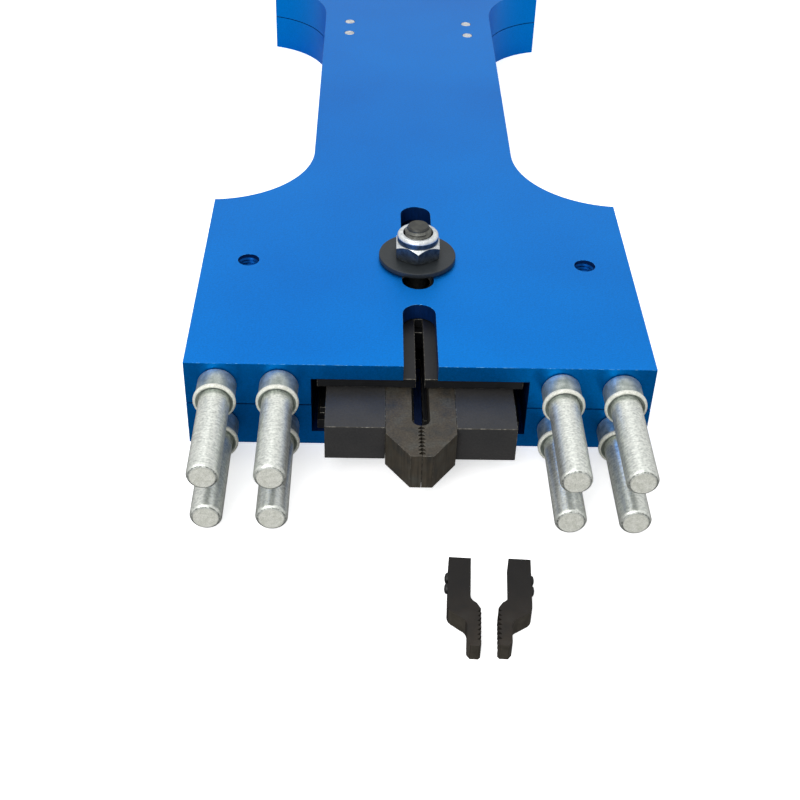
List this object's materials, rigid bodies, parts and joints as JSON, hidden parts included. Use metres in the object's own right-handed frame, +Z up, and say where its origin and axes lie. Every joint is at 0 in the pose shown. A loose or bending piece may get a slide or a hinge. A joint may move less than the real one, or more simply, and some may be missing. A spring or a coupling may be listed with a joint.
{
  "type": "clamp-and-pin bending head",
  "caption": "Waisted two-plate metal bending head with a sliding clamp bolt, toothed jaws in a front pocket, rows of steel bending pins and a spare pair of jaws.",
  "frame": {"origin": "underside of the body on its centre line, 150 mm behind the front face", "axes": "+Y from the pins towards the far head, +Z up through the clamp bolt, +X to the right seen from the pins"},
  "size_m": [0.13, 0.4291, 0.0397],
  "materials": {
    "body": "bead-blasted, blue anodised",
    "zinc": "turned, zinc plated, mottled",
    "bright_pins": "ground bright steel",
    "nylon": "black nylon",
    "jaws": "black oxide, brownish, ground faces",
    "black_fasteners": "black oxide, satin",
    "black_steel": "black oxide, matt"
  },
  "bodies": {
    "body": {"upper_body_plate": "body", "lower_body_plate": "body", "pin_upper_left_inner": "zinc", "pin_upper_left_outer": "zinc", "pin_upper_right_inner": "zinc", "pin_upper_right_outer": "zinc", "pin_lower_left_inner": "zinc", "pin_lower_left_outer": "zinc", "pin_lower_right_inner": "zinc", "pin_lower_right_outer": "zinc", "sleeve_upper_left_inner": "zinc", "sleeve_upper_left_outer": "zinc", "sleeve_upper_right_inner": "zinc", "sleeve_upper_right_outer": "zinc", "sleeve_lower_left_inner": "zinc", "sleeve_lower_left_outer": "zinc", "sleeve_lower_right_inner": "zinc", "sleeve_lower_right_outer": "zinc", "upper_wear_plate": "black_steel", "lower_wear_plate": "black_steel", "wear_screw_upper_left": "black_fasteners", "wear_screw_upper_right": "black_fasteners", "wear_screw_lower_left": "black_fasteners", "wear_screw_lower_right": "black_fasteners", "plate_screw_near_left": "black_fasteners", "plate_screw_near_right": "black_fasteners", "plate_screw_far_left": "black_fasteners", "plate_screw_far_right": "black_fasteners", "dowel_pin_left_front": "bright_pins", "dowel_pin_left_rear": "bright_pins", "dowel_pin_right_front": "bright_pins", "dowel_pin_right_rear": "bright_pins"},
    "clamp": {"slide_block": "black_steel", "cam_pin_left": "bright_pins", "cam_pin_right": "bright_pins", "clamp_bolt": "black_fasteners", "clamp_washer": "black_fasteners"},
    "nut": {"clamp_nut": "zinc", "nut_insert": "nylon"},
    "left_jaw": {"jaw_left": "jaws", "jaw_carrier_left": "black_steel", "jaw_pin_left_front": "black_steel", "jaw_pin_left_rear": "black_steel"},
    "right_jaw": {"jaw_right": "jaws", "jaw_carrier_right": "black_steel", "jaw_pin_right_front": "black_steel", "jaw_pin_right_rear": "black_steel"},
    "left_spare": {"spare_jaw_left": "jaws", "spare_jaw_left_pin_front": "black_steel", "spare_jaw_left_pin_rear": "black_steel"},
    "right_spare": {"spare_jaw_right": "jaws", "spare_jaw_right_pin_front": "black_steel", "spare_jaw_right_pin_rear": "black_steel"}
  },
  "joints": [
    {"name": "clamp_slide", "type": "slide", "parent": "body", "child": "clamp", "axis": [0, -1, 0], "range_m": [0, 0.012]},
    {"name": "jaw_left_slide", "type": "slide", "parent": "body", "child": "left_jaw", "axis": [-1, 0, 0], "range_m": [0, 0.0035]},
    {"name": "jaw_right_slide", "type": "slide", "parent": "body", "child": "right_jaw", "axis": [1, 0, 0], "range_m": [0, 0.0035]},
    {"name": "nut_spin", "type": "hinge", "parent": "clamp", "child": "nut", "pos_m": [0, -0.095, 0.033], "axis": [0, 0, 1], "continuous": true},
    {"name": "left_spare_lift", "type": "slide", "parent": "body", "child": "left_spare", "axis": [0, 0, 1], "range_m": [0, 0.06]},
    {"name": "right_spare_lift", "type": "slide", "parent": "body", "child": "right_spare", "axis": [0, 0, 1], "range_m": [0, 0.06]}
  ],
  "couplings": [
    {"joint": "jaw_left_slide", "follows": "clamp_slide", "ratio": 0.29166},
    {"joint": "jaw_right_slide", "follows": "clamp_slide", "ratio": 0.29166}
  ]
}
